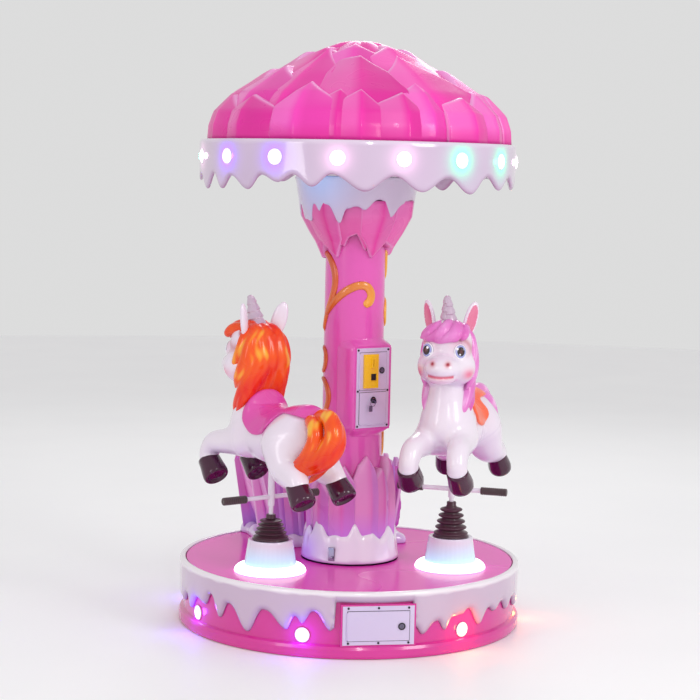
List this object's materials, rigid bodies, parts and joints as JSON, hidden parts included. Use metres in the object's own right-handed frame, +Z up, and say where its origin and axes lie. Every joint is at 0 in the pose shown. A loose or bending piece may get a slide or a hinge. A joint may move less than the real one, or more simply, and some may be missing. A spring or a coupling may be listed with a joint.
{
  "type": "kiddie ride machine",
  "caption": "Coin-operated carousel kiddie ride: round base, turntable with unicorns and a sleigh on lifting poles, column with coin unit, domed canopy.",
  "frame": {"origin": "centre of the base on the floor, on the turntable's axis, at the underside of the centre foot", "axes": "+Z up along the column; the access door and coin unit face -Y; +X to the right seen from the front"},
  "size_m": [1.3, 1.3239, 2.196],
  "materials": {
    "pink_gloss": "glossy moulded gel coat",
    "hot_pink_gloss": "glossy moulded gel coat",
    "icing_white": "glossy moulded gel coat",
    "crystal_pink": "glossy faceted, lilac edges",
    "vine_orange": "glossy painted relief",
    "sleigh_magenta": "glossy, lilac crystal edges",
    "unicorn_white": "glossy painted, lilac shading",
    "mane_orange": "glossy painted",
    "mane_pink": "glossy painted",
    "saddle_pink": "glossy painted",
    "saddle_orange": "glossy painted",
    "horn_silver": "silver paint",
    "hoof_brown": "glossy dark brown paint",
    "lamp_glow": "lit frosted lens",
    "ring_glow": "lit frosted ring",
    "rubber_brown": "matt moulded rubber",
    "grip_rubber": "ribbed rubber",
    "panel_white": "white powder coat",
    "pole_white": "white paint",
    "steel_frame": "grey primer",
    "steel_bright": "machined",
    "lock_chrome": "polished",
    "screw_zinc": "zinc plated",
    "acceptor_yellow": "moulded yellow",
    "flap_black": "moulded",
    "motor_black": "black paint",
    "box_grey": "moulded",
    "foot_rubber": "matt"
  },
  "bodies": {
    "base": {"base_skirt": "pink_gloss", "base_icing": "icing_white", "base_frame": "steel_frame", "levelling_feet": "foot_rubber", "centre_mast": "steel_frame", "control_box": "box_grey", "power_inlet": "flap_black", "led_lamps": "lamp_glow", "column_shell": "pink_gloss", "vine_relief": "vine_orange", "foot_collar": "icing_white", "foot_crystals": "crystal_pink", "capital_crystals": "crystal_pink", "capital_icing": "icing_white", "canopy_frame": "steel_frame", "ceiling_panel": "icing_white", "canopy_valance": "icing_white", "canopy_dome": "hot_pink_gloss", "panel_screws": "screw_zinc", "bearing_inner_ring": "steel_bright", "turntable_motor": "motor_black", "slip_ring": "box_grey", "access_frame": "panel_white", "coin_panel": "panel_white"},
    "turntable": {"deck": "pink_gloss", "deck_frame": "steel_frame", "ring_gear": "steel_bright", "sleigh_tub": "sleigh_magenta", "sleigh_snow": "icing_white", "lift_frames": "steel_frame", "lift_motors": "motor_black", "lift_housings": "icing_white", "light_rings": "ring_glow", "bellows_left": "rubber_brown", "bellows_right": "rubber_brown"},
    "drive_pinion": {"drive_pinion": "steel_bright"},
    "access_door": {"access_door": "panel_white"},
    "access_lock": {"access_lock": "lock_chrome"},
    "coin_door": {"coin_door": "panel_white", "coin_acceptor": "acceptor_yellow"},
    "coin_lock": {"coin_lock": "lock_chrome"},
    "return_flap": {"return_flap": "flap_black"},
    "cash_door": {"cash_door": "panel_white"},
    "cash_lock": {"cash_lock": "lock_chrome"},
    "unicorn_left": {"unicorn_body_left": "unicorn_white", "hooves_left": "hoof_brown", "mane_tail_left": "mane_orange", "saddle_left": "saddle_pink", "horn_left": "horn_silver", "pole_left": "pole_white", "grips_left": "grip_rubber"},
    "cam_left": {"cam_left": "steel_bright"},
    "unicorn_right": {"unicorn_body_right": "unicorn_white", "hooves_right": "hoof_brown", "mane_tail_right": "mane_pink", "saddle_right": "saddle_orange", "horn_right": "horn_silver", "pole_right": "pole_white", "grips_right": "grip_rubber"},
    "cam_right": {"cam_right": "steel_bright"}
  },
  "joints": [
    {"name": "turntable_spin", "type": "hinge", "parent": "base", "child": "turntable", "pos_m": [0, 0, 0.14], "axis": [0, 0, -1], "continuous": true},
    {"name": "pinion_spin", "type": "hinge", "parent": "base", "child": "drive_pinion", "pos_m": [0.14802, 0.27839, 0.138], "axis": [0, 0, -1], "continuous": true},
    {"name": "left_lift", "type": "slide", "parent": "turntable", "child": "unicorn_left", "axis": [0, 0, 1], "range_m": [-0.012, 0.048], "deforming": ["bellows_left"]},
    {"name": "left_cam_turn", "type": "hinge", "parent": "turntable", "child": "cam_left", "pos_m": [-0.29062, -0.29062, 0.16], "axis": [-0.7071, -0.7071, 0], "range_deg": [-36.5, 144.5]},
    {"name": "right_lift", "type": "slide", "parent": "turntable", "child": "unicorn_right", "axis": [0, 0, 1], "range_m": [-0.034, 0.026], "deforming": ["bellows_right"]},
    {"name": "right_cam_turn", "type": "hinge", "parent": "turntable", "child": "cam_right", "pos_m": [0.37833, -0.16059, 0.16], "axis": [0.9205, -0.3907, 0], "range_deg": [-102.5, 78.5]},
    {"name": "access_door_hinge", "type": "hinge", "parent": "base", "child": "access_door", "pos_m": [-0.0021, -0.64822, 0.118], "axis": [0, 0, -1], "range_deg": [0, 110]},
    {"name": "access_lock_turn", "type": "hinge", "parent": "access_door", "child": "access_lock", "pos_m": [0.19006, -0.61503, 0.117], "axis": [-0.1702, 0.9854, 0], "range_deg": [0, 90]},
    {"name": "coin_door_hinge", "type": "hinge", "parent": "base", "child": "coin_door", "pos_m": [0.02483, -0.14425, 0.963], "axis": [0, 0, -1], "range_deg": [0, 100]},
    {"name": "coin_lock_turn", "type": "hinge", "parent": "coin_door", "child": "coin_lock", "pos_m": [0.10707, -0.08666, 0.965], "axis": [-0.5736, 0.8192, 0], "range_deg": [0, 90]},
    {"name": "return_flap_swing", "type": "hinge", "parent": "coin_door", "child": "return_flap", "pos_m": [0.07668, -0.11648, 0.952], "axis": [-0.8192, -0.5736, 0], "range_deg": [0, 60]},
    {"name": "cash_door_hinge", "type": "hinge", "parent": "base", "child": "cash_door", "pos_m": [0.07594, -0.10846, 0.7616], "axis": [0.8192, 0.5736, 0], "range_deg": [0, 110]},
    {"name": "cash_lock_turn", "type": "hinge", "parent": "cash_door", "child": "cash_lock", "pos_m": [0.07676, -0.10788, 0.855], "axis": [0.5736, -0.8192, 0], "range_deg": [0, 90]}
  ],
  "couplings": [
    {"joint": "pinion_spin", "follows": "turntable_spin", "ratio": -6},
    {"joint": "left_cam_turn", "follows": "left_lift", "rad_per_m": 52.36},
    {"joint": "right_cam_turn", "follows": "right_lift", "rad_per_m": 52.36}
  ]
}
